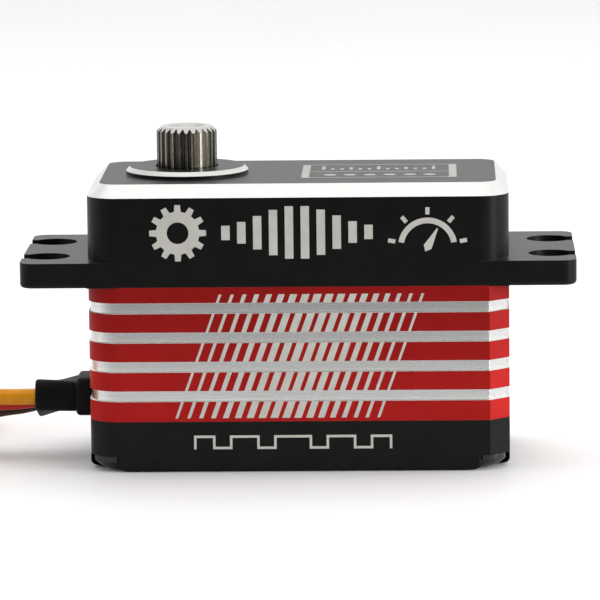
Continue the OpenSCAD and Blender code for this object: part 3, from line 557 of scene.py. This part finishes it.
def mark_front_cover():
    """A control signal's pulse train on the front of the cover."""
    low, high, line = 2.25, 3.6, 0.24
    rest = 1.4       # length of the line between two pulses
    pulses = (1.6, 2.4, 3.2, 2.4, 1.6)
    u = -10.2
    shapes = []
    for i, width in enumerate(pulses):
        inner, end = u + line + width, u + 2 * line + width
        shapes.append([[(u, low), (u + line, low), (u + line, high - line), (inner, high - line),
                        (inner, low), (end, low), (end, high), (u, high)]])
        if i < len(pulses) - 1:
            shapes.append(rect(end + 0.001, low, end + rest - 0.001, low + line))
        u = end + rest
    etch("mark_front_cover", shapes, front)


def mark_top_panel():
    """A plain framed panel of ticks and dots on the top of the case."""
    x0, x1, y0, y1 = 0.3, 15.4, -5.1, 4.9
    side, rail = 0.75, 0.3
    shapes = [rect(x0, y0, x0 + side, y1), rect(x1 - side, y0, x1, y1)]
    for y in (y0, -0.75, y1 - rail):
        shapes.append(rect(x0 + side, y, x1 - side, y + rail))
    for i in range(13):
        u = x0 + 1.9 + i * 0.9
        tall = 2.6 if i % 6 == 0 else 1.8 if i % 3 == 0 else 1.1
        shapes.append(rect(u, 1.0, u + 0.32, 1.0 + tall))
    for i in range(6):
        shapes.append([circle(x0 + 2.75 + i * 1.95, -2.9, 0.62, 24)])
    # the top panel takes the darker copy of the laser mark, painted shade
    etch("mark_top_panel", shapes, top, "laser_mark_top_shaded")


mark_front_top()
mark_front_hatch()
mark_front_cover()
mark_top_panel()


# ---------------------------------------------------------------- floor, light and camera

def stage_floor():
    m = Mat("floor_paper")
    paper = m.mix(m.noise(0.02, 2), (0.82, 0.82, 0.82), (0.86, 0.86, 0.86))
    # The paper in front of the object and to its right is shaded, which only shows in what it reflects
    in_front = m.ramp(m.axis("Y"), -185, -10, 0.05, 0.66)
    shade = m.math("MULTIPLY", in_front, m.ramp(m.axis("X"), 30, 110, 1.0, 0.72))
    grey = m.tree.nodes.new("ShaderNodeCombineColor")
    for channel in grey.inputs:
        feed(m.tree, channel, shade)
    ray = m.tree.nodes.new("ShaderNodeLightPath")
    m.put("Base Color", m.mix(ray.outputs["Is Camera Ray"], grey.outputs[0], paper))
    m.put("Roughness", 0.5)
    m.put("Specular IOR Level", 0.25)
    m.put("Normal", m.bump(m.noise(2.5, 3), 0.002))
    bm = bmesh.new()
    bmesh.ops.create_grid(bm, x_segments=2, y_segments=2, size=3)
    floor = add_piece("floor", bm, m.material)
    floor.location.z = -0.02 * MM


def studio_world():
    """A white room: bright above, behind and beside the object, dim on the camera's side.
    The camera itself sees plain white."""
    world = bpy.data.worlds.new("studio")
    bpy.context.scene.world = world
    world.use_nodes = True
    tree = world.node_tree
    tree.nodes.clear()
    coord = tree.nodes.new("ShaderNodeTexCoord")
    direction = tree.nodes.new("ShaderNodeSeparateXYZ")
    feed(tree, direction.inputs[0], coord.outputs["Generated"])
    dimmest = 0.05
    ramps = (("Z", 0.35, 0.97, 1.12), ("Y", 0.2, 0.85, 0.97), ("X", 0.5, 0.95, 1.05), ("X", -0.6, -0.98, 0.3))
    glows = [smooth_ramp(tree, direction.outputs[axis], lo, hi, 0, gain) for axis, lo, hi, gain in ramps]
    glow = glows[0]
    for part in (*glows[1:], dimmest):
        glow = arithmetic(tree, "ADD", glow, part)
    ray = tree.nodes.new("ShaderNodeLightPath")
    mix = tree.nodes.new("ShaderNodeMix")
    for key, v in ((0, ray.outputs["Is Camera Ray"]), (2, glow), (3, 1.0)):
        feed(tree, mix.inputs[key], v)
    back = tree.nodes.new("ShaderNodeBackground")
    feed(tree, back.inputs["Color"], (1, 1, 0.995))
    feed(tree, back.inputs["Strength"], mix.outputs[0])
    out = tree.nodes.new("ShaderNodeOutputWorld")
    feed(tree, out.inputs["Surface"], back.outputs[0])


def softbox(name, place, target, size, power, mirrored=False):
    """A rectangular lamp, in metres, that shines at target. Glossy surfaces mirror it only if mirrored."""
    data = bpy.data.lights.new(name, "AREA")
    data.shape = "RECTANGLE"
    data.size, data.size_y = size
    data.energy = power
    obj = bpy.data.objects.new(name, data)
    bpy.context.scene.collection.objects.link(obj)
    obj.location = place
    obj.rotation_mode = "QUATERNION"
    obj.rotation_quaternion = (Vector(target) - Vector(place)).to_track_quat("-Z", "Y")
    obj.visible_glossy = mirrored


def camera():
    """A long lens in front of the case and a little above its top, rolled by 0.6 degrees."""
    place = Vector((13.586, -479.88, 89.09))
    right = Vector((0.999581, 0.026761, -0.010993))
    up = Vector((0.006793, 0.152267, 0.988316))
    ahead = Vector((-0.028122, 0.987977, -0.152021))
    data = bpy.data.cameras.new("camera")
    data.sensor_width = 36
    data.lens = 295.95
    data.clip_start, data.clip_end = 0.05, 10
    eye = bpy.data.objects.new("camera", data)
    bpy.context.scene.collection.objects.link(eye)
    turn = Matrix((right, up, -ahead)).transposed().to_4x4()
    eye.matrix_world = Matrix.Translation(place * MM) @ turn
    bpy.context.scene.camera = eye


stage_floor()
studio_world()
softbox("softbox_top", (0.0, 0.14, 0.4), (0, 0, 0.01), (0.5, 0.35), 0.62)
softbox("softbox_right", (0.38, -0.02, 0.075), (0.01, 0, 0.012), (0.25, 0.24), 1.25)
softbox("strip_right", (0.33, -0.19, 0.05), (0.01, 0, 0.012), (0.07, 0.22), 0.64, True)
softbox("softbox_left", (-0.4, 0.0, 0.12), (-0.01, 0, 0.012), (0.2, 0.25), 0.55)
camera()
bpy.context.scene.view_settings.view_transform = "Standard"
bpy.context.scene.view_settings.look = "None"
